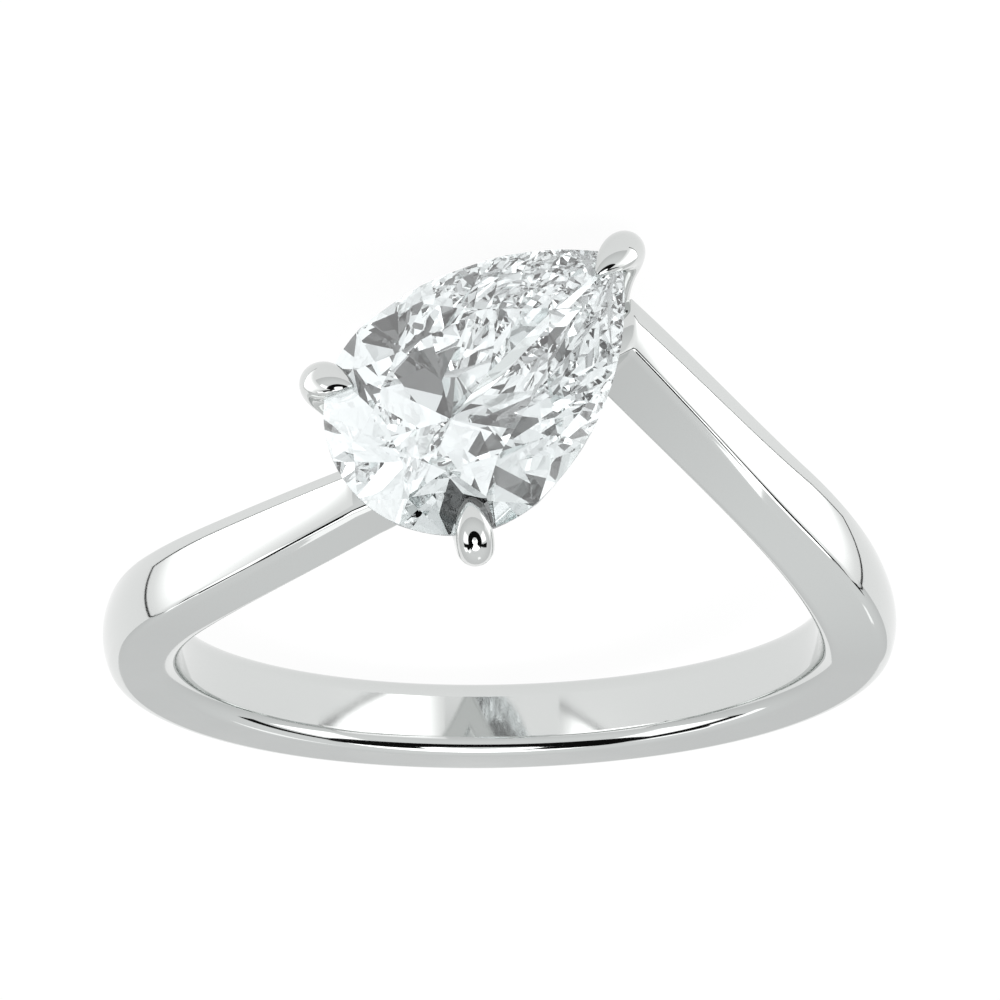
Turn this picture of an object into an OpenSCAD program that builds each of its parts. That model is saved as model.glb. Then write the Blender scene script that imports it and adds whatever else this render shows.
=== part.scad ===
// Solitaire finger ring: a clear pear cut stone held by three claws on a polished
// white metal shank whose two arms meet in an off-centre V under the stone.
// Lengths are in millimetres. The ring lies on its side on the floor, +Z up,
// with the stone's table facing -Y.

/* [Finger hole and shank] */
// inside diameter of the ring
finger_hole_d = 17.3; // [14:0.1:22]
// width of the shank at the palm
band_w = 2.1; // [1.5:0.05:4]
// width of the shank at the sides
side_w = 2; // [1.5:0.05:4]
// radial thickness of the shank at the sides
band_t = 1.93; // [1.2:0.01:3]
// radial thickness of the shank at the palm
palm_t = 2.15; // [1.2:0.01:3]
// the hole is straight up to here along the finger, and opens a little under the arms
straight_to = 1; // [0.5:0.1:1.5]
// how much wider the hole's radius is under the peak of the V
hole_flare = 0.1; // [0.05:0.01:0.3]
// rounding of the two inside edges
inner_round = 0.45; // [0.1:0.05:0.6]
// rounding of the outside edges below the arms
outer_round = 0.4; // [0.1:0.05:0.8]
// rounding of the outside edges along the arms
arm_round = 0.1; // [0.05:0.05:0.3]
// height of the outside face's dome
crown_rise = 0.12; // [0:0.02:0.4]

/* [Arms] */
// left arm: offset along the finger at its inner end
left_sweep = 1.06; // [0:0.05:3]
// left arm: angle from the top where the offset starts
left_start = 62; // [40:1:90]
// left arm: width at its inner end
left_head_w = 1.35; // [1:0.05:2]
// left arm: extra height at its inner end
left_rise = 0.25; // [0:0.05:1]
// left arm: angle of its inner end from the top
left_end = 20; // [12:1:30]
// right arm: offset along the finger at the peak of the V
right_sweep = 4.95; // [2:0.05:7]
// right arm: angle from the top where the offset starts
right_start = 91; // [60:1:110]
// right arm: width at the peak of the V
right_head_w = 1.45; // [1:0.05:2]
// right arm: extra height at the peak of the V
right_rise = 1.3; // [0:0.05:2]
// right arm: angle of the peak from the top
right_end = 17.5; // [12:0.5:30]
// angle from the top where the arms start to narrow
narrow_start = 75; // [50:1:100]
// radial thickness of the bridge below the stone
bridge_t = 0.8; // [0.5:0.05:1.2]

/* [Stone] */
// radius of the round end
lobe_r = 3.2; // [2:0.05:5]
// distance from the round end's centre to the point
tip_l = 6; // [4:0.1:9]
// radius of the two long sides
side_r = 7.55; // [5:0.05:12]
// middle of the girdle above the ring's centre
girdle_z = 12.4; // [11:0.05:14]
// thickness of the girdle
girdle_t = 0.15; // [0.05:0.01:0.3]
// height of the crown
crown_h = 0.95; // [0.5:0.05:1.5]
// depth of the pavilion
pavilion_h = 2.75; // [2:0.05:4]
// table size as a share of the outline
table_share = 0.58; // [0.5:0.01:0.7]
// how far the star facets reach towards the girdle
star_reach = 0.5; // [0.3:0.01:0.7]
// how far the lower half facets reach towards the culet
half_reach = 0.76; // [0.5:0.01:0.9]
// round end's centre across the finger
stone_x = -1.1; // [-3:0.05:3]
// round end's centre along the finger
stone_y = 2.3; // [-1:0.05:5]
// turn of the stone's long axis
stone_turn = 43.3; // [0:0.1:90]

/* [Claws] */
// radius of the left and front claws at the girdle
claw_r = 0.49; // [0.3:0.01:0.8]
// radius of the point claw at the girdle
point_claw_r = 0.5; // [0.3:0.01:0.8]
// radius of the stems at their feet
stem_r = 0.38; // [0.3:0.02:0.7]
// angle of the left claw from the stone's point
left_claw_angle = 122; // [90:1:150]
// angle of the front claw from the stone's point
front_claw_angle = 124.2; // [90:0.1:150]
// how far the left claw is turned from square to the girdle
left_claw_turn = -8; // [-20:1:20]
// how far the point claw is turned from the stone's long axis
point_claw_turn = 5; // [-20:1:20]
// how far a claw's middle stands outside the girdle
claw_out = 0.22; // [0:0.01:0.5]
// how far the point claw's middle stands outside the stone's point
point_claw_out = 0.2; // [-0.2:0.01:0.5]
// how far the left claw reaches in over the crown
left_claw_reach = 0.74; // [0.4:0.01:1.5]
// how far the front claw reaches in over the crown
front_claw_reach = 0.62; // [0.4:0.01:1.5]
// how far the point claw reaches in over the crown
point_claw_reach = 1; // [0.4:0.01:1.5]
// height of a claw's tip above the middle of the girdle
claw_top = 0.66; // [0.3:0.01:1.2]
// height of the point claw's tip above the middle of the girdle
point_claw_top = 0.54; // [0.3:0.01:1.2]
// gap left between the metal and the stone
seat_gap = 0.04; // [0.02:0.01:0.2]

/* [Rest on the floor] */
// lean about the floor's X axis
rest_lean = -14.11; // [-30:0.01:30]
// lean about the floor's Y axis
rest_roll = 4.56; // [-15:0.01:15]
// lift of the ring's centre above the floor
rest_lift = 3.676; // [0:0.001:15]
// shift of the ring's centre across the floor
rest_x = 0; // [-5:0.001:5]
// shift of the ring's centre along the floor
rest_y = 1.869; // [-5:0.001:5]

/* [Hidden] */
bore_r = finger_hole_d / 2;
outer_r = bore_r + band_t;
left_k = left_sweep / pow(left_start - left_end, 2);
right_k = right_sweep / pow(right_start - right_end, 2);
bridge_slope = 0.11;     // offset per degree where the bridge meets the peak
bridge_from = 8;         // lowest stretch of the bridge, left of the top
bridge_to = 4;
rib = 0.15;              // stock inside the bore, removed when it is bored
lead = 30;               // slope at which the inside rounding meets the bore
palm_step = 5;           // degrees between sections
arm_step = 2.5;
arc_n = 4;               // points along one rounded edge
top_n = 4;               // points across the outside face
claw_n = 16;             // points round a claw
stem_steps = 6;
tip_steps = 9;
tip_r = 0.05;            // radius left at a claw's point
big = 40;
main_inset = 0.01;       // keeps the main facets clear of a bare touch at the girdle
culet_flat = 0.04;

function lerp(a, b, t) = a + (b - a) * t;
function clamp(t) = min(1, max(0, t));
function smooth(t) = let (u = clamp(t)) u * u * (3 - 2 * u);
function ramp(a, b, x) = clamp((x - a) / (b - a));
// cubic through two values with a slope at each end
function hermite(a, sa, b, sb, span, t) =
    (2*t*t*t - 3*t*t + 1)*a + (t*t*t - 2*t*t + t)*span*sa
    + (3*t*t - 2*t*t*t)*b + (t*t*t - t*t)*span*sb;

// The shank is described by the angle q from the top: negative left, positive right.
// Offset of the shank's middle along the finger.
function mid_y(q) =
    q < -left_end ? left_k * pow(max(0, left_start + q), 2)
    : q > right_end ? right_k * pow(max(0, right_start - q), 2)
    : hermite(left_sweep, 2*left_k*(left_start - left_end), right_sweep, bridge_slope,
              left_end + right_end, (q + left_end)/(left_end + right_end));
// Width along the finger.
function width(q) =
    q < -left_end ? lerp(lerp(side_w, left_head_w, pow(ramp(narrow_start, left_end, -q), 2)),
                         band_w, smooth(ramp(90, 180, -q)))
    : q > right_end ? lerp(lerp(side_w, right_head_w, pow(ramp(narrow_start, right_end, q), 2)),
                           band_w, smooth(ramp(90, 180, q)))
    : lerp(left_head_w, right_head_w, ramp(-left_end, right_end, q));
// Radius of the outside edge: level at the palm, rising along the arms, low at the bridge.
function edge_r(q) =
    let (palm_r = (palm_t - band_t) * smooth(ramp(90, 150, abs(q))),
         left_r = outer_r + palm_r + left_rise * pow(ramp(45, left_end, -q), 2),
         right_r = outer_r + palm_r + right_rise * pow(ramp(50, right_end, q), 2),
         low_r = bore_r + bridge_t)
    q < -18 ? left_r
    : q < -bridge_from ? lerp(outer_r + left_rise, low_r, smooth(ramp(-18, -bridge_from, q)))
    : q < -bridge_to ? low_r
    : q < right_end ? lerp(low_r, outer_r + right_rise, smooth(ramp(-bridge_to, right_end, q)))
    : right_r;
function edge_round(q) = lerp(arm_round, outer_round, smooth(ramp(50, 85, abs(q))));
function bore_round(q) = lerp(0.3, inner_round, smooth(ramp(20, 60, abs(q))));

// One section of the shank as [offset from its middle, radius] points. Its inside edge
// starts on a slope, so that the bore cuts it cleanly.
function half_section(w, re, ro, ri) =
    let (y = w/2 - ri + ri*sin(lead), r = bore_r + ri - ri*cos(lead))
    concat(
    [[y - (r - bore_r + rib)/tan(lead), bore_r - rib]],
    [for (i = [0:arc_n]) let (a = lerp(lead, 90, i/arc_n))
        [w/2 - ri + ri*sin(a), bore_r + ri - ri*cos(a)]],
    [for (i = [0:arc_n]) let (a = 90*i/arc_n)
        [w/2 - ro + ro*cos(a), re - ro + ro*sin(a)]]);
function reversed(v) = [for (i = [len(v)-1:-1:0]) v[i]];
function section(q) =
    let (w = width(q), re = edge_r(q), ro = edge_round(q), ri = bore_round(q),
         h = half_section(w, re, ro, ri), flat = w/2 - ro)
    concat(h,
        [for (i = [1:top_n-1]) let (y = flat*(1 - 2*i/top_n))
            [y, re + crown_rise*(1 - pow(y/flat, 2))]],
        [for (p = reversed(h)) [-p[0], p[1]]]);
angles = concat([for (q = [-180:palm_step:-75]) q], [for (q = [-72.5:arm_step:right_end]) q],
                [for (q = [right_end+arm_step:arm_step:72.5]) q],
                [for (q = [75:palm_step:175]) q]);
function placed(q) = [for (p = section(q))
    [p[1]*sin(q), mid_y(q) + p[0], p[1]*cos(q)]];
module shank() {
    rings = [for (q = angles) placed(q)];
    n = len(rings[0]);
    m = len(rings);
    polyhedron(
        points = [for (r = rings) for (p = r) p],
        faces = [for (i = [0:m-1]) for (j = [0:n-1])
            let (a = i*n + j, b = i*n + (j+1)%n, c = ((i+1)%m)*n + (j+1)%n, d = ((i+1)%m)*n + j)
            each [[a, c, b], [a, d, c]]],
        convexity = 6);
}

// A tube of round sections along a path, closed at both ends.
function unit(v) = v / norm(v);
function tube_ring(path, radii, side, i) =
    let (last = len(path) - 1,
         t = unit(path[min(last, i+1)] - path[max(0, i-1)]),
         u = unit(side - (side*t)*t), v = cross(t, u))
    [for (k = [0:claw_n-1]) path[i] + radii[i]*(cos(360*k/claw_n)*u + sin(360*k/claw_n)*v)];
module tube(path, radii, side) {
    rings = [for (i = [0:len(path)-1]) tube_ring(path, radii, side, i)];
    m = len(path);
    n = claw_n;
    polyhedron(
        points = concat([for (r = rings) each r], [path[0], path[m-1]]),
        faces = concat(
            [for (i = [0:m-2]) for (j = [0:n-1])
                let (a = i*n + j, b = i*n + (j+1)%n, c = (i+1)*n + (j+1)%n, d = (i+1)*n + j)
                each [[a, c, b], [a, d, c]]],
            [for (j = [0:n-1]) [m*n, j, (j+1)%n]],
            [for (j = [0:n-1]) [m*n + 1, (m-1)*n + (j+1)%n, (m-1)*n + j]]),
        convexity = 4);
}
function bend(a, b, c, t) = (1-t)*(1-t)*a + 2*t*(1-t)*b + t*t*c;
function curve(a, b, c, d, t) =
    pow(1-t, 3)*a + 3*t*pow(1-t, 2)*b + 3*t*t*(1-t)*c + pow(t, 3)*d;
// A claw from its foot on the shank, up past the girdle and in over the crown, where it
// narrows to a point. grip: its place on the girdle, dir: the direction it faces in plan.
function on_girdle(a, reach) = [stone_x, stone_y, girdle_z] + reach*[cos(a), sin(a), 0];
module claw(grip, foot, dir, r, out, reach, top) {
    d = [cos(dir), sin(dir), 0];
    side = [-sin(dir), cos(dir), 0];
    function at(rho, z) = grip + rho*d + [0, 0, z];
    knee = at(-0.5, -1.7);
    waist = at(out - 0.1, -0.7);
    bow = [for (i = [0:tip_steps]) curve(waist, waist + 0.7*unit(waist - knee),
                                         at(out - 0.2, top + 0.12), at(-reach, top), i/tip_steps)];
    path = concat([for (i = [0:stem_steps-1]) bend(foot, knee, waist, i/stem_steps)], bow);
    radii = concat(
        [for (i = [0:stem_steps-1]) lerp(stem_r, r, i/stem_steps)],
        [for (p = bow) let (s = clamp((out - (p - grip)*d)/(out + reach)))
            lerp(tip_r, r, pow(1 - s*s, 0.95))]);
    tube(path, radii, side);
}

// The outline of the stone: a round end and two long sides meeting in a point.
side_u = (tip_l*tip_l + pow(side_r - lobe_r, 2) - side_r*side_r) / (2*tip_l);
side_v = sqrt(pow(side_r - lobe_r, 2) - side_u*side_u);
turn_out = atan2(side_v, -side_u);            // where the round end turns into a side
tip_out = atan2(side_v, tip_l - side_u);      // direction a side faces at the point
function outline_point(a) =
    let (s = a < 0 ? -1 : 1, b = abs(a))
    b >= turn_out ? lobe_r*[cos(a), sin(a)]
    : b <= tip_out ? [tip_l, 0]
    : [side_u + side_r*cos(b), s*(side_r*sin(b) - side_v)];
module outline(grow) {
    circle(r = lobe_r + grow, $fn = 96);
    intersection() {
        translate([side_u, -side_v]) circle(r = side_r + grow, $fn = 192);
        translate([side_u, side_v]) circle(r = side_r + grow, $fn = 192);
        translate([side_u, -lobe_r - 1]) square([tip_l*1.5, 2*lobe_r + 2]);
    }
}
// A cut along the plane through a point, removing what lies on the side of the normal.
module cut(p, nrm) {
    translate(p) rotate([0, acos(nrm[2]/norm(nrm)), atan2(nrm[1], nrm[0])])
        translate([-big/2, -big/2, 0]) cube([big, big, big]);
}
function facing(n, outwards) = n*outwards < 0 ? -n : n;
// Eight directions in which the main facets face, and those between them.
faces_at = [0, 58, 92, 136, 180, -136, -92, -58];
function main_at(i) = faces_at[(i + 8) % 8];
function between(i) =
    i == 0 ? (tip_out + main_at(1))/2
    : i == 7 ? -between(0)
    : i == 4 ? -between(3)
    : (main_at(i) + main_at(i + 1))/2;
function at_girdle(a, z) = let (p = outline_point(a)) [p[0], p[1], z];
top_z = girdle_t/2;
low_z = -girdle_t/2;
culet = [0, 0, low_z - pavilion_h];
function dir3(a) = [cos(a), sin(a), 0];
function face_d(a) = outline_point(a) * [cos(a), sin(a)];
function crown_n(a) = [cos(a)*crown_h, sin(a)*crown_h, face_d(a)*(1 - table_share)];
function pav_n(a) = [cos(a)*pavilion_h, sin(a)*pavilion_h, -face_d(a)];
function table_corner(a) = let (p = outline_point(a)*table_share) [p[0], p[1], top_z + crown_h];
// where three planes, given as [point, normal], meet
function meet(a, b, c) =
    let (n1 = a[1], n2 = b[1], n3 = c[1], d = n1*cross(n2, n3))
    ((a[0]*n1)*cross(n2, n3) + (b[0]*n2)*cross(n3, n1) + (c[0]*n3)*cross(n1, n2))/d;
function crown_plane(i) = [at_girdle(main_at(i), top_z), crown_n(main_at(i))];
function foot_z(i) = i > 3 ? foot_z(7 - i) :
    let (a = main_at(i), p = outline_point(between(i)), gap = face_d(a) - p*[cos(a), sin(a)],
         z = top_z + gap*crown_h/(face_d(a)*(1 - table_share)))
    lerp(top_z + crown_h, z, star_reach);
function star_foot(i) =
    meet(crown_plane(i), crown_plane(i+1), [[0, 0, foot_z(i)], [0, 0, 1]]);
function plane_of(a, b, c) = let (n = cross(b - a, c - a)) [a, facing(n, a - [0, 0, 0])];
function star_plane(i) =
    let (p = plane_of(table_corner(main_at(i)), table_corner(main_at(i+1)), star_foot(i)))
    p[1][2] < 0 ? [p[0], -p[1]] : p;
function upper_half(i, a) = plane_of(at_girdle(a, top_z), at_girdle(between(i), top_z), star_foot(i));
function keel_point(i) =
    let (a = pav_n(main_at(i)), b = pav_n(main_at(i+1)), k = cross(a, b), o = outline_point(between(i)),
         kk = k[2] < 0 ? -k : k, s = norm(o)/norm([kk[0], kk[1]]))
    culet + kk*s*(1 - half_reach);
function lower_half(i, a) = plane_of(at_girdle(a, low_z), at_girdle(between(i), low_z), keel_point(i));
// Planes that shape the stone, as [point, normal]. Main facets sit a touch inside the
// girdle's edge and a small flat replaces the culet's point, as on a cut stone.
function inside(p, d) = [p[0] + unit(p[1])*d, p[1]];
main_planes = [for (i = [0:7]) each [
    inside(crown_plane(i), -main_inset),
    inside([culet, pav_n(main_at(i))], -main_inset)]];
half_planes = [for (i = [0:7]) each concat([star_plane(i)],
    [for (a = [main_at(i), main_at(i+1)]) each [upper_half(i, a), lower_half(i, a)]])];
module rough(grow) {
    translate([0, 0, low_z - pavilion_h + culet_flat - grow])
        linear_extrude(height = pavilion_h + girdle_t + crown_h - culet_flat + 2*grow)
            outline(grow);
}
// One cut after another, as the stone's facets are ground.
module ground(planes, k, grow) {
    if (k < 0) rough(grow);
    else difference() {
        ground(planes, k - 1, grow);
        cut(planes[k][0] + unit(planes[k][1])*grow, planes[k][1]);
    }
}
module stone_body(grow, halves) {
    planes = halves ? concat(main_planes, half_planes) : main_planes;
    ground(planes, len(planes) - 1, grow);
}
module set_stone(grow, halves) {
    translate([stone_x, stone_y, girdle_z]) rotate([0, 0, stone_turn]) stone_body(grow, halves);
}
module bore() {
    reach = 10;
    flared = reach - straight_to;
    translate([0, straight_to, 0]) {
        rotate([90, 0, 0]) cylinder(r = bore_r, h = reach, $fn = 180);
        rotate([-90, 0, 0]) cylinder(r1 = bore_r, h = flared, $fn = 180,
            r2 = bore_r + hole_flare*flared/(right_sweep - straight_to));
    }
}
module claws() {
    left_at = stone_turn + left_claw_angle;
    front_at = stone_turn - front_claw_angle;
    claw(on_girdle(left_at, lobe_r), [-2.3, mid_y(-13) + 0.35, bore_r + 0.75],
         left_at + left_claw_turn, claw_r, claw_out, left_claw_reach, claw_top);
    claw(on_girdle(front_at, lobe_r), [-1.3, mid_y(-8) - 0.3, bore_r + 0.75],
         front_at, claw_r, claw_out, front_claw_reach, claw_top);
    claw(on_girdle(stone_turn, tip_l), [3.1, mid_y(right_end) + 0.1, bore_r + 1.6],
         stone_turn + point_claw_turn, point_claw_r, point_claw_out, point_claw_reach,
         point_claw_top);
}
module rested() {
    translate([rest_x, rest_y, rest_lift]) rotate([rest_lean, rest_roll, 0])
        rotate([-90, 0, 180]) children();
}

module ring_mounting() {
    color([0.78, 0.79, 0.79]) rested() difference() {
        union() {
            shank();
            claws();
        }
        set_stone(seat_gap, false);
        bore();
    }
}
module pear_stone() {
    color([0.93, 0.95, 0.97]) rested() set_stone(0, true);
}

ring_mounting();
pear_stone();
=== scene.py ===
import math

import bmesh
import bpy
from mathutils import Matrix, Vector


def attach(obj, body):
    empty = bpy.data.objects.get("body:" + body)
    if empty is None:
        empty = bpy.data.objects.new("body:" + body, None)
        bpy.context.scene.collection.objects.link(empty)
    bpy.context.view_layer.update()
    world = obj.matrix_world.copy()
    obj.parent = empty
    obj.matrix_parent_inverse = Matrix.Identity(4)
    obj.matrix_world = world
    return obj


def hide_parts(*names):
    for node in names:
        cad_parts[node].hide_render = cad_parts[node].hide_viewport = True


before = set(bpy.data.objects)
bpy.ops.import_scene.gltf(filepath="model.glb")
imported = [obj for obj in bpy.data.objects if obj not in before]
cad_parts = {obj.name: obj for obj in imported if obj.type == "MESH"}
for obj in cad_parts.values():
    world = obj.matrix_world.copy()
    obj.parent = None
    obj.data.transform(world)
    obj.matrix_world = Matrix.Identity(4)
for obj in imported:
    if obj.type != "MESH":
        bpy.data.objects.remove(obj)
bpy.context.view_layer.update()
print("frame loaded, nodes:", ", ".join(sorted(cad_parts)))

mm = 0.001
scene = bpy.context.scene

# The ring's own frame is in mm: X across the finger, Y along it, Z up through the stone.
# This is how it lies on the floor, on the palm's edge and on the claw at the stone's point,
# in degrees and mm.
lying = {"lean": -14.11, "roll": 4.56, "x": 0.0, "y": 1.869, "lift": 3.676}


def turn(degrees, axis):
    return Matrix.Rotation(math.radians(degrees), 4, axis)


ringToFloor = (Matrix.Scale(mm, 4)
               @ Matrix.Translation((lying["x"], lying["y"], lying["lift"]))
               @ turn(lying["roll"], "Y") @ turn(lying["lean"], "X")
               @ turn(180, "Z") @ turn(-90, "X"))


def lerp(a, b, t):
    return a + (b - a) * t


def ramp(a, b, x):
    # 0 at a, 1 at b, and flat beyond them
    return min(1.0, max(0.0, (x - a) / (b - a)))


def smooth(t):
    t = min(1.0, max(0.0, t))
    return t * t * (3 - 2 * t)


def hermite(a, slopeA, b, slopeB, span, t):
    # a cubic from a to b over the span, with its own slope at each end
    return ((2 * t**3 - 3 * t**2 + 1) * a + (t**3 - 2 * t**2 + t) * span * slopeA
            + (3 * t**2 - 2 * t**3) * b + (t**3 - t**2) * span * slopeB)


def makePiece(bm, name, materials, smoothFaces=True):
    # the mesh goes to its place on the floor, and its object stays at the origin
    bmesh.ops.transform(bm, matrix=ringToFloor, verts=bm.verts)
    mesh = bpy.data.meshes.new(name)
    bm.to_mesh(mesh)
    bm.free()
    piece = bpy.data.objects.new(name, mesh)
    scene.collection.objects.link(piece)
    for material in materials:
        mesh.materials.append(material)
    if smoothFaces:
        mesh.shade_smooth()
    else:
        mesh.shade_flat()
    return piece


# Materials

def linear(hexColour):
    parts = [int(hexColour[i:i + 2], 16) / 255 for i in (1, 3, 5)]
    return [c / 12.92 if c <= 0.04045 else ((c + 0.055) / 1.055)**2.4 for c in parts] + [1.0]


def addNode(material, kind, settings=None, sockets=None, links=None):
    # settings are the node's own fields, sockets its constant inputs,
    # and links its inputs that come from (node, output name)
    node = material.node_tree.nodes.new(kind)
    for field, value in (settings or {}).items():
        setattr(node, field, value)
    for socket, value in (sockets or {}).items():
        node.inputs[socket].default_value = value
    for socket, (source, output) in (links or {}).items():
        material.node_tree.links.new(source.outputs[output], node.inputs[socket])
    return node


def newMaterial(name):
    material = bpy.data.materials.new(name)
    material.use_nodes = True
    material.node_tree.nodes.clear()
    return material


metal = {
    "colour": "#D4D6D5",
    "buffed": 0.045,       # roughness of the buffed face
    "worn": 0.09,          # roughness where the buffing wheel left haze
    "hazeSize": 2.5,       # mm, size of the hazy patches
    "hazeFrom": 0.35,      # noise value where the haze sets in
    "hazeFull": 0.75,      # noise value where it is complete
    "waveSize": 6.0,       # mm, length of the waves that hand buffing leaves
    "waveHeight": 0.002,   # mm
}


def polishedPlatinum():
    # Cast platinum, filed, then buffed to a mirror. The eye gets a cool white metal with
    # crisp reflections that bend a little where the buffing wheel left waves.
    material = newMaterial("buffed platinum")
    place = addNode(material, "ShaderNodeTexCoord")
    haze = addNode(material, "ShaderNodeTexNoise",
                   sockets={"Scale": 1 / (metal["hazeSize"] * mm), "Detail": 3.0},
                   links={"Vector": (place, "Object")})
    rough = addNode(material, "ShaderNodeMapRange",
                    sockets={"From Min": metal["hazeFrom"], "From Max": metal["hazeFull"],
                             "To Min": metal["buffed"], "To Max": metal["worn"]},
                    links={"Value": (haze, "Fac")})
    waves = addNode(material, "ShaderNodeTexNoise",
                    sockets={"Scale": 1 / (metal["waveSize"] * mm), "Detail": 1.0},
                    links={"Vector": (place, "Object")})
    bump = addNode(material, "ShaderNodeBump",
                   sockets={"Strength": 1.0, "Distance": metal["waveHeight"] * mm},
                   links={"Height": (waves, "Fac")})
    shader = addNode(material, "ShaderNodeBsdfPrincipled",
                     sockets={"Base Color": linear(metal["colour"]), "Metallic": 1.0},
                     links={"Roughness": (rough, "Result"), "Normal": (bump, "Normal")})
    addNode(material, "ShaderNodeOutputMaterial", links={"Surface": (shader, "BSDF")})
    return material


gem = {
    "colour": "#F8FEFF",   # a trace of cool tint
    "ior": 2.417,
    "girdleColour": "#A4A8AA", "girdleRough": 0.35,
}


def cutDiamond(name, roughness, colour):
    # Diamond, sawn and ground on a lap. Its high index turns light round inside the stone,
    # so that the eye gets small bright and dark patches.
    material = newMaterial(name)
    shader = addNode(material, "ShaderNodeBsdfPrincipled",
                     sockets={"Base Color": linear(colour), "Metallic": 0.0,
                              "Roughness": roughness, "IOR": gem["ior"],
                              "Transmission Weight": 1.0})
    addNode(material, "ShaderNodeOutputMaterial", links={"Surface": (shader, "BSDF")})
    return material


platinum = polishedPlatinum()
polishedStone = cutDiamond("polished diamond", 0.0, gem["colour"])
groundStone = cutDiamond("ground diamond girdle", gem["girdleRough"], gem["girdleColour"])
print("materials made")

# The shank, in mm and in degrees from the top of the ring, where the stone is

shank = {
    "boreRadius": 8.65,
    "straightTo": 1.0, "holeFlare": 0.1,  # past this offset the hole opens, by this at the V
    "sideWidth": 2.0, "bandWidth": 2.1,   # along the finger, at the sides and at the palm
    "bandThick": 1.93, "palmThick": 2.15,
    "innerRound": 0.45, "headInnerRound": 0.3,
    "outerRound": 0.4, "armRound": 0.16,
    "crownRise": 0.12,                    # of the domed outside face
    "softWidth": 0.28, "softTurn": 12.0,  # strip beside the arms' outer edges, and its easing
    # each arm leaves the ring's plane at its start and has left it by its sweep at its end
    "leftStart": 62.0, "leftEnd": 20.0, "leftSweep": 1.06,
    "rightStart": 91.0, "rightEnd": 17.5, "rightSweep": 4.95,
    # each arm narrows towards the head and stands higher there
    "narrowStart": 75.0, "leftHeadWidth": 1.35, "rightHeadWidth": 1.45,
    "leftRiseStart": 45.0, "leftRise": 0.25,
    "rightRiseStart": 50.0, "rightRise": 1.3,
    # the bridge slopes down from its foot on the left arm and up to the right arm
    "bridgeThick": 0.8, "bridgeSlope": 0.11,
    "bridgeFoot": 16.0, "bridgeFrom": 8.0, "bridgeTo": 4.0,
    # where the arms' sizes turn into the band's, and the sides' into the palm's
    "outerRoundGrows": (50.0, 85.0), "innerRoundGrows": (20.0, 60.0), "easingFades": (40.0, 75.0),
    "widthGrows": (90.0, 180.0), "palmGrows": (90.0, 150.0),
    "steps": 720,           # sections round the finger
    "edgeSteps": 8,         # facets along one rounded edge
    "domeSteps": 8,         # facets across half of the outside face
    "easeSteps": 4,         # facets across the eased strip
    "hold": 0.015,          # how close a holding edge stands to a rounding
    "wallTolerance": 0.01,  # a point this near the bore belongs to the hole's wall
}
outerRadius = shank["boreRadius"] + shank["bandThick"]
leftPull = shank["leftSweep"] / (shank["leftStart"] - shank["leftEnd"])**2
rightPull = shank["rightSweep"] / (shank["rightStart"] - shank["rightEnd"])**2


# q is the angle from the top of the ring, negative to the left arm
def middle(q):
    # how far the section's middle lies along the finger
    s = shank
    if q < -s["leftEnd"]:
        return leftPull * max(0.0, s["leftStart"] + q)**2
    if q > s["rightEnd"]:
        return rightPull * max(0.0, s["rightStart"] - q)**2
    span = s["leftEnd"] + s["rightEnd"]
    return hermite(s["leftSweep"], 2 * leftPull * (s["leftStart"] - s["leftEnd"]),
                   s["rightSweep"], s["bridgeSlope"], span, (q + s["leftEnd"]) / span)


def width(q):
    s = shank
    if -s["leftEnd"] <= q <= s["rightEnd"]:
        return lerp(s["leftHeadWidth"], s["rightHeadWidth"],
                    ramp(-s["leftEnd"], s["rightEnd"], q))
    end, head = ((s["leftEnd"], s["leftHeadWidth"]) if q < 0
                 else (s["rightEnd"], s["rightHeadWidth"]))
    arm = lerp(s["sideWidth"], head, ramp(s["narrowStart"], end, abs(q))**2)
    return lerp(arm, s["bandWidth"], smooth(ramp(*s["widthGrows"], abs(q))))


def edgeRadius(q):
    s = shank
    palm = (s["palmThick"] - s["bandThick"]) * smooth(ramp(*s["palmGrows"], abs(q)))
    left = outerRadius + palm + s["leftRise"] * ramp(s["leftRiseStart"], s["leftEnd"], -q)**2
    right = outerRadius + palm + s["rightRise"] * ramp(s["rightRiseStart"], s["rightEnd"], q)**2
    low = s["boreRadius"] + s["bridgeThick"]
    if q < -s["bridgeFoot"]:
        return left
    if q < -s["bridgeFrom"]:
        return lerp(outerRadius + s["leftRise"], low,
                    smooth(ramp(-s["bridgeFoot"], -s["bridgeFrom"], q)))
    if q < -s["bridgeTo"]:
        return low
    if q < s["rightEnd"]:
        return lerp(low, outerRadius + s["rightRise"],
                    smooth(ramp(-s["bridgeTo"], s["rightEnd"], q)))
    return right


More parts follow.
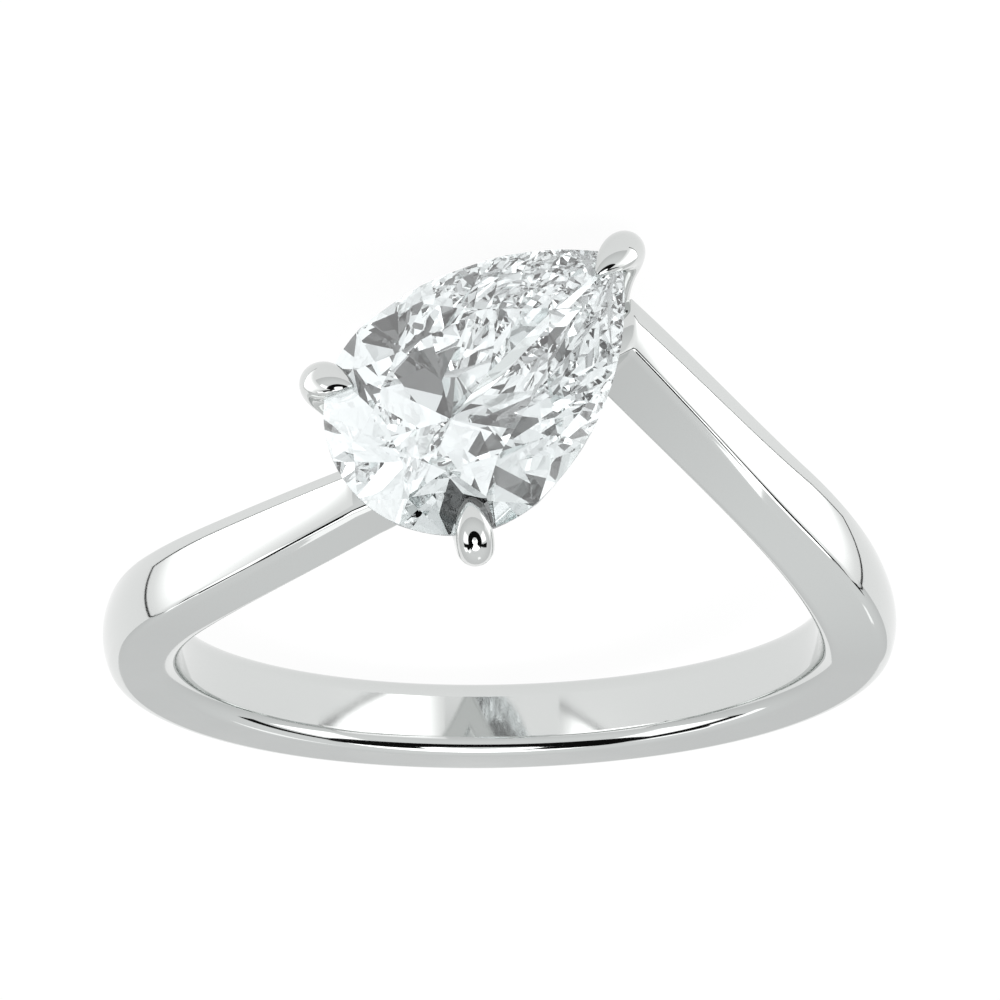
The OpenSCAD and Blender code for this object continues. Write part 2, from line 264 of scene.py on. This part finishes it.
def section(q):
    # half of the section as (offset along the finger, radius), from the hole to the dome's top
    s = shank
    half = width(q) / 2
    edge = edgeRadius(q)
    outer = lerp(s["armRound"], s["outerRound"], smooth(ramp(*s["outerRoundGrows"], abs(q))))
    inner = lerp(s["headInnerRound"], s["innerRound"], smooth(ramp(*s["innerRoundGrows"], abs(q))))
    hole, hold = s["boreRadius"], s["hold"]
    points = [(0.0, hole), (half - inner - hold, hole)]
    for i in range(s["edgeSteps"] + 1):
        a = math.pi / 2 * i / s["edgeSteps"]
        points.append((half - inner + inner * math.sin(a), hole + inner - inner * math.cos(a)))
    points.append((half, hole + inner + hold))
    # buffing eases the side face towards its outer edge
    ease = s["softWidth"]
    easing = math.radians(s["softTurn"]) * (1 - smooth(ramp(*s["easingFades"], abs(q))))
    start = edge - outer - hold - ease
    for i in range(s["easeSteps"] + 1):
        t = i / s["easeSteps"]
        points.append((half - easing * ease * t * t / 2, start + ease * t))
    # the dome is an arc that runs on into the rounded edge
    reach = points[-1][0] - outer
    arm = (reach**2 + s["crownRise"]**2) / (2 * s["crownRise"])
    lean = math.atan2(reach, arm - s["crownRise"])
    for i in range(s["edgeSteps"] + 1):
        a = lerp(easing, math.pi / 2 - lean, i / s["edgeSteps"])
        points.append((reach + outer * math.cos(a), edge - outer + outer * math.sin(a)))
    centre = edge + s["crownRise"] - arm - outer
    domeRadius = arm + outer
    domeAngles = [lean - hold / domeRadius]
    domeAngles += [lean * (1 - (i + 1) / s["domeSteps"]) for i in range(s["domeSteps"])]
    for a in domeAngles:
        points.append((domeRadius * math.sin(a), centre + domeRadius * math.cos(a)))
    return points


def wholeSection(q):
    # the other half is its mirror, without the two points on the middle line
    half = section(q)
    return half + [(-y, r) for y, r in half[-2:0:-1]]


def buildShank():
    # the palm's section is spun round the finger, then each section takes its own shape
    bm = bmesh.new()
    order = bm.verts.layers.int.new("sectionPoint")
    ring = []
    for i, (y, r) in enumerate(wholeSection(180)):
        ring.append(bm.verts.new((0, y, -r)))
        ring[-1][order] = i
    loop = [bm.edges.new((a, b)) for a, b in zip(ring, ring[1:] + ring[:1])]
    bmesh.ops.spin(bm, geom=ring + loop, cent=(0, 0, 0), axis=(0, 1, 0), dvec=(0, 0, 0),
                   angle=math.tau, steps=shank["steps"], use_merge=True, use_duplicate=False)
    sections = {}
    for vert in bm.verts:
        q = round(math.degrees(math.atan2(vert.co.x, vert.co.z)), 3)
        if q not in sections:
            sections[q] = wholeSection(q)
        y, r = sections[q][vert[order]]
        y += middle(q)
        if r < shank["boreRadius"] + shank["wallTolerance"]:  # the hole opens under the arms
            r += shank["holeFlare"] * max(0.0, (y - shank["straightTo"])
                                          / (shank["rightSweep"] - shank["straightTo"]))
        a = math.radians(q)
        vert.co = (r * math.sin(a), y, r * math.cos(a))
    bmesh.ops.recalc_face_normals(bm, faces=bm.faces)
    return bm


band = makePiece(buildShank(), "shank", [platinum])
print("shank made,", len(band.data.polygons), "faces")

# The stone, in mm and degrees

stone = {
    "x": -1.1, "y": 2.3, "girdleHeight": 12.4,  # centre of its round lobe, at the girdle
    "lobeRadius": 3.2, "pointLength": 6.0,      # from that centre
    "turn": 43.3,                               # from the ring's X to the stone's point
    "facetTurn": 0.3,        # triangles that turn by less are one facet
    "girdleTilt": 0.05,      # a facet whose normal rises by less than this is the girdle's
    "mergeDistance": 1e-4,   # nearer corners of the triangles are one
}

# The claws, in mm from the place where each one grips the girdle

claws = {
    "stemRadius": 0.38, "tipRadius": 0.03,
    "kneeIn": 0.5, "kneeDrop": 1.7,      # the stem bends towards this place
    "waistIn": 0.1, "waistDrop": 0.7,    # the stem ends here, measured in from the claw's middle
    "risePull": 0.7,                     # how far the tip first carries on upwards
    "overIn": 0.2, "overRise": 0.12,     # then it bends over the girdle
    "taper": 0.95,                       # power of the narrowing, 0.5 would be an ellipse
    "stemSteps": 24, "tipSteps": 28, "facets": 32,
    "seatGap": 0.06,                     # at the stone's point, and less round its lobe
}
# angle is from the stone's point and turn is the claw's own about its grip, both in degrees.
# Out, reach and top are the claw's middle line outside, its tip inside and the tip's height.
# The foot is at x, aside from the shank's middle at its angle, and above the hole's wall.
clawShapes = {
    "left": {"angle": 122.0, "turn": -8.0, "girdle": stone["lobeRadius"],
             "radius": 0.49, "out": 0.22, "reach": 0.74, "top": 0.66,
             "foot": {"x": -2.3, "angle": -13.0, "aside": 0.35, "above": 0.75}},
    "front": {"angle": -124.2, "turn": 0.0, "girdle": stone["lobeRadius"],
              "radius": 0.49, "out": 0.22, "reach": 0.62, "top": 0.66,
              "foot": {"x": -1.3, "angle": -8.0, "aside": -0.3, "above": 0.75}},
    "point": {"angle": 0.0, "turn": 5.0, "girdle": stone["pointLength"],
              "radius": 0.5, "out": 0.2, "reach": 1.0, "top": 0.54,
              "foot": {"x": 3.1, "angle": shank["rightEnd"], "aside": 0.1, "above": 1.6}},
}


def planDirection(degrees):
    return Vector((math.cos(math.radians(degrees)), math.sin(math.radians(degrees)), 0))


def clawPath(claw):
    # the claw's middle line with its radius: from its foot up past the girdle, then in over
    # the crown, where it narrows to a point
    place = stone["turn"] + claw["angle"]
    outwards = planDirection(place + claw["turn"])
    grip = (Vector((stone["x"], stone["y"], stone["girdleHeight"]))
            + planDirection(place) * claw["girdle"])
    footing = claw["foot"]
    foot = Vector((footing["x"], middle(footing["angle"]) + footing["aside"],
                   shank["boreRadius"] + footing["above"]))
    out, reach, top = claw["out"], claw["reach"], claw["top"]

    def at(along, height):
        return grip + outwards * along + Vector((0, 0, height))

    knee = at(-claws["kneeIn"], -claws["kneeDrop"])
    waist = at(out - claws["waistIn"], -claws["waistDrop"])
    rise = waist + claws["risePull"] * (waist - knee).normalized()
    over = at(out - claws["overIn"], top + claws["overRise"])
    tip = at(-reach, top)
    path = []
    for i in range(claws["stemSteps"]):
        t = i / claws["stemSteps"]
        path.append(((1 - t)**2 * foot + 2 * t * (1 - t) * knee + t * t * waist,
                     lerp(claws["stemRadius"], claw["radius"], t)))
    for i in range(claws["tipSteps"] + 1):
        t = i / claws["tipSteps"]
        point = ((1 - t)**3 * waist + 3 * t * (1 - t)**2 * rise
                 + 3 * t * t * (1 - t) * over + t**3 * tip)
        inside = ramp(out, -reach, (point - grip).dot(outwards))
        path.append((point, lerp(claws["tipRadius"], claw["radius"],
                                 (1 - inside**2)**claws["taper"])))
    return path


def buildClaw(bm, path, side):
    # a disc at the foot is extruded along the path, and its first axis keeps to the side
    stations = []
    for i, (point, radius) in enumerate(path):
        along = (path[min(i + 1, len(path) - 1)][0] - path[max(i - 1, 0)][0]).normalized()
        across = (side - side.dot(along) * along).normalized()
        turned = Matrix((across, along.cross(across), along)).transposed().to_4x4()
        stations.append(Matrix.Translation(point) @ turned @ Matrix.Scale(radius, 4))
    made = bmesh.ops.create_circle(bm, cap_ends=True, radius=1, segments=claws["facets"],
                                   matrix=stations[0])
    edges = list(dict.fromkeys(e for v in made["verts"] for e in v.link_edges))
    for before, after in zip(stations, stations[1:]):
        grown = bmesh.ops.extrude_edge_only(bm, edges=edges)["geom"]
        verts = [g for g in grown if isinstance(g, bmesh.types.BMVert)]
        fresh = set(verts)
        edges = [g for g in grown if isinstance(g, bmesh.types.BMEdge)
                 and g.verts[0] in fresh and g.verts[1] in fresh]
        bmesh.ops.transform(bm, matrix=after @ before.inverted(), verts=verts)
    bmesh.ops.edgeloop_fill(bm, edges=edges)


def buildClaws():
    bm = bmesh.new()
    for claw in clawShapes.values():
        side = planDirection(stone["turn"] + claw["angle"] + claw["turn"] + 90)
        buildClaw(bm, clawPath(claw), side)
    bmesh.ops.recalc_face_normals(bm, faces=bm.faces)
    return bm


clawPiece = makePiece(buildClaws(), "claws", [platinum])
print("claws made,", len(clawPiece.data.polygons), "faces")


def buildStone():
    # the solid's own mesh, with its loose triangles joined into facets
    bm = bmesh.new()
    bm.from_mesh(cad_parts["pear_stone"].data)
    bmesh.ops.remove_doubles(bm, verts=bm.verts, dist=stone["mergeDistance"] * mm)
    bmesh.ops.dissolve_limit(bm, angle_limit=math.radians(stone["facetTurn"]),
                             verts=bm.verts, edges=bm.edges)
    bmesh.ops.transform(bm, matrix=ringToFloor.inverted(), verts=bm.verts)
    for face in bm.faces:
        face.normal_update()
        face.material_index = 1 if abs(face.normal.z) < stone["girdleTilt"] else 0
    return bm


stonePiece = makePiece(buildStone(), "stone", [polishedStone, groundStone], smoothFaces=False)
print("stone made,", len(stonePiece.data.polygons), "facets")


def seatCutter():
    # a copy of the stone, a touch larger, that the claws' seats are cut with
    bm = bmesh.new()
    bm.from_mesh(stonePiece.data)
    middlePoint = sum((v.co for v in bm.verts), Vector()) / len(bm.verts)
    size = max((v.co - middlePoint).length for v in bm.verts)
    bmesh.ops.scale(bm, vec=Vector((1, 1, 1)) * (1 + claws["seatGap"] * mm / size),
                    verts=bm.verts, space=Matrix.Translation(-middlePoint))
    mesh = bpy.data.meshes.new("seat cutter")
    bm.to_mesh(mesh)
    bm.free()
    cutter = bpy.data.objects.new("seat cutter", mesh)
    scene.collection.objects.link(cutter)
    return cutter


def cutSeats():
    cutter = seatCutter()
    seat = clawPiece.modifiers.new("seat", "BOOLEAN")
    seat.operation = "DIFFERENCE"
    seat.solver = "EXACT"
    seat.object = cutter
    bpy.context.view_layer.update()
    seated = clawPiece.evaluated_get(bpy.context.evaluated_depsgraph_get())
    cutMesh = bpy.data.meshes.new_from_object(seated)
    clawPiece.modifiers.clear()
    clawPiece.data = cutMesh
    bpy.data.objects.remove(cutter)


cutSeats()
print("seats cut")

for piece, slotName in ((band, "metal"), (clawPiece, "metal"), (stonePiece, "stone")):
    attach(piece, "root")
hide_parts("ring_mounting")
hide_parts("pear_stone")

# Studio: a pale floor, soft light, and the camera of the photograph

studio = {
    "floorColour": "#484848", "floorGlow": 0.94,
    "floorSize": 3.0,                      # m
    "worldColour": "#F3F4F4",
    "worldLow": 0.8, "worldHigh": 1.0,     # brightness at the horizon and higher up
    "worldTurn": 0.6,                      # height of a direction where it is full
    "cardColour": "#050505",
    "bounces": 24,
    "panelRows": 12, "panelColumns": 36,   # faces up and round each panel
}
# Panels stand in a dome round the ring. Round is in degrees from the camera's side towards +X,
# low and top are degrees above the floor, and far is in mm. A softbox has its full brightness
# within "hot" degrees of its middle and falls to "rim" at its ends, and also at its top where
# it has a "dimFrom" height.
softboxes = {
    "overhead softbox": {"far": 420, "round": (62, 298), "low": 58, "top": 89.5,
                         "bright": 2.4, "rim": 2.4, "hot": 180},
    "left softbox": {"far": 14, "round": (28, 84), "low": 0, "top": 32, "dimFrom": 15,
                     "bright": 2.2, "rim": 1.05, "hot": 10},
    "right softbox": {"far": 16, "round": (-90, -28), "low": 0, "top": 38, "dimFrom": 17,
                      "bright": 2.2, "rim": 1.05, "hot": 12},
    "high left softbox": {"far": 300, "round": (70, 117), "low": 30, "top": 54,
                          "bright": 1.9, "rim": 0.9, "hot": 15},
    "high right softbox": {"far": 300, "round": (-111, -70), "low": 30, "top": 54,
                           "bright": 1.9, "rim": 0.9, "hot": 15},
    "left back strip": {"far": 400, "round": (130, 142.5), "low": 25, "top": 40,
                        "bright": 1.7, "rim": 1.7, "hot": 180},
    "high back strip": {"far": 400, "round": (142.5, 152), "low": 38, "top": 50,
                        "bright": 1.7, "rim": 1.7, "hot": 180},
    "right back strip": {"far": 400, "round": (186, 195), "low": 25, "top": 34,
                         "bright": 1.4, "rim": 1.4, "hot": 180},
}
# Black cards stand high round the ring, and narrow ones draw a thin dark line along the foot
# and the outer side of each near softbox. Only the stone sees the dark room behind the camera,
# as if the stone and the metal had each been lit on their own.
blackCards = {
    "front black card": {"far": 410, "round": (-140, 150), "low": 55, "top": 77},
    "left black card": {"far": 410, "round": (113, 140), "low": 29, "top": 56},
    "right black card": {"far": 410, "round": (-131, -117), "low": 27, "top": 56},
    "left softbox foot": {"far": 13.8, "round": (28, 86), "low": 0, "top": 0.8},
    "left softbox side": {"far": 13.8, "round": (85, 86), "low": 0, "top": 30},
    "right softbox foot": {"far": 15.8, "round": (-92, -28), "low": 0, "top": 0.8},
    "right softbox side": {"far": 15.8, "round": (-92, -91), "low": 0, "top": 34},
    "dark room": {"far": 140, "round": (-30, 30), "low": 5, "top": 54, "stoneOnly": True},
}


def linkStage(bm, name, material):
    mesh = bpy.data.meshes.new(name)
    bm.to_mesh(mesh)
    bm.free()
    mesh.materials.append(material)
    thing = bpy.data.objects.new(name, mesh)
    scene.collection.objects.link(thing)
    return thing


def mattSurface(name, colour, glow=0.0):
    # card and opal plastic, which scatter light evenly
    material = newMaterial(name)
    shader = addNode(material, "ShaderNodeBsdfPrincipled",
                     sockets={"Base Color": linear(colour), "Roughness": 0.9,
                              "Specular IOR Level": 0.1, "Emission Color": (1, 1, 1, 1),
                              "Emission Strength": glow})
    addNode(material, "ShaderNodeOutputMaterial", links={"Surface": (shader, "BSDF")})
    return material


def buildFloor():
    # an opal table lit from below, which keeps the shadows faint
    bm = bmesh.new()
    bmesh.ops.create_grid(bm, x_segments=1, y_segments=1, size=studio["floorSize"] / 2)
    linkStage(bm, "floor", mattSurface("opal light table", studio["floorColour"],
                                       studio["floorGlow"]))


def buildWorld():
    # the room's white walls, a little darker towards the floor
    world = bpy.data.worlds.new("studio walls")
    world.use_nodes = True
    background = world.node_tree.nodes["Background"]
    background.inputs["Color"].default_value = linear(studio["worldColour"])
    place = addNode(world, "ShaderNodeTexCoord")
    parts = addNode(world, "ShaderNodeSeparateXYZ", links={"Vector": (place, "Generated")})
    rise = addNode(world, "ShaderNodeMapRange",
                   sockets={"From Min": 0.0, "From Max": studio["worldTurn"],
                            "To Min": studio["worldLow"], "To Max": studio["worldHigh"]},
                   links={"Value": (parts, "Z")})
    world.node_tree.links.new(rise.outputs["Result"], background.inputs["Strength"])
    scene.world = world


def direction(roundDegrees, upDegrees):
    a, e = math.radians(roundDegrees), math.radians(upDegrees)
    return Vector((math.sin(a) * math.cos(e), -math.cos(a) * math.cos(e), math.sin(e)))


def buildPanel(name, panel, material):
    # an upright arc spun about the ring
    bm = bmesh.new()
    start, end = panel["round"]
    rows = studio["panelRows"]
    arc = [bm.verts.new(direction(start, lerp(panel["low"], panel["top"], i / rows))
                        * panel["far"] * mm) for i in range(rows + 1)]
    edges = [bm.edges.new(pair) for pair in zip(arc, arc[1:])]
    bmesh.ops.spin(bm, geom=arc + edges, cent=(0, 0, 0), axis=(0, 0, 1), dvec=(0, 0, 0),
                   angle=math.radians(end - start), steps=studio["panelColumns"],
                   use_merge=False, use_duplicate=False)
    panelPiece = linkStage(bm, name, material)
    panelPiece.visible_camera = False
    return panelPiece


def dimTowardsTop(material, place, box):
    # the brightness of the cloth's middle, which falls to the rim's at the top
    upwards = addNode(material, "ShaderNodeVectorMath", {"operation": "NORMALIZE"},
                      links={0: (place, "Object")})
    height = addNode(material, "ShaderNodeSeparateXYZ", links={0: (upwards, "Vector")})
    return addNode(material, "ShaderNodeMapRange", {"interpolation_type": "SMOOTHSTEP"},
                   {"From Min": math.sin(math.radians(box["dimFrom"])),
                    "From Max": math.sin(math.radians(box["top"])),
                    "To Min": box["bright"], "To Max": box["rim"]},
                   {"Value": (height, "Z")})


def glowingCloth(name, box):
    # The white diffusing cloth of a softbox, lit from behind. Polished metal shows it as a
    # soft white band that fades to grey where the lamp's light runs out.
    material = newMaterial(name)
    place = addNode(material, "ShaderNodeTexCoord")
    flat = addNode(material, "ShaderNodeVectorMath", {"operation": "MULTIPLY"},
                   {1: (1, 1, 0)}, {0: (place, "Object")})
    unit = addNode(material, "ShaderNodeVectorMath", {"operation": "NORMALIZE"},
                   links={0: (flat, "Vector")})
    start, end = box["round"]
    facing = addNode(material, "ShaderNodeVectorMath", {"operation": "DOT_PRODUCT"},
                     {1: direction((start + end) / 2, 0)}, {0: (unit, "Vector")})
    links = {"Value": (facing, "Value")}
    if "dimFrom" in box:
        links["To Max"] = (dimTowardsTop(material, place, box), "Result")
    fade = addNode(material, "ShaderNodeMapRange", {"interpolation_type": "SMOOTHSTEP"},
                   {"From Min": math.cos(math.radians((end - start) / 2)),
                    "From Max": math.cos(math.radians(box["hot"])),
                    "To Min": box["rim"], "To Max": box["bright"]}, links)
    glow = addNode(material, "ShaderNodeEmission", sockets={"Color": (1, 1, 1, 1)},
                   links={"Strength": (fade, "Result")})
    addNode(material, "ShaderNodeOutputMaterial", links={"Surface": (glow, "Emission")})
    return material


# The view was fitted to the photograph's edges in the ring's frame, in degrees and mm.
# Nearest and farthest are the camera's clipping, in m.
view = {"elevation": 73.008, "roll": -1.226, "distance": 160.0, "right": 0.008, "up": 3.619,
        "lens": 213.302, "sensor": 36.0, "nearest": 0.01, "farthest": 10.0}


def buildCamera():
    e, r = math.radians(view["elevation"]), math.radians(view["roll"])
    back = Vector((0, -math.cos(e), math.sin(e)))
    across = Vector((1, 0, 0))
    up = back.cross(across)
    right = math.cos(r) * across + math.sin(r) * up
    top = -math.sin(r) * across + math.cos(r) * up
    place = right * view["right"] + top * view["up"] + back * view["distance"]
    turned = Matrix((right, top, back)).transposed().to_4x4()
    spot = ringToFloor @ Matrix.Translation(place) @ turned
    lens = bpy.data.cameras.new("camera")
    lens.lens = view["lens"]
    lens.sensor_width = view["sensor"]
    lens.clip_start = view["nearest"]
    lens.clip_end = view["farthest"]
    camera = bpy.data.objects.new("camera", lens)
    scene.collection.objects.link(camera)
    camera.matrix_world = Matrix.LocRotScale(spot.to_translation(), spot.to_quaternion(),
                                             (1, 1, 1))
    scene.camera = camera


buildFloor()
buildWorld()
for boxName, box in softboxes.items():
    buildPanel(boxName, box, glowingCloth(boxName, box))
cardMaterial = mattSurface("black card", studio["cardColour"])
for cardName, card in blackCards.items():
    cardPiece = buildPanel(cardName, card, cardMaterial)
    cardPiece.visible_diffuse = False
    cardPiece.visible_glossy = not card.get("stoneOnly", False)
buildCamera()
scene.view_settings.view_transform = "Standard"
# light turns many times inside the stone
for kind in ("max", "glossy", "transmission"):
    setattr(scene.cycles, kind + "_bounces", studio["bounces"])
print("studio made")
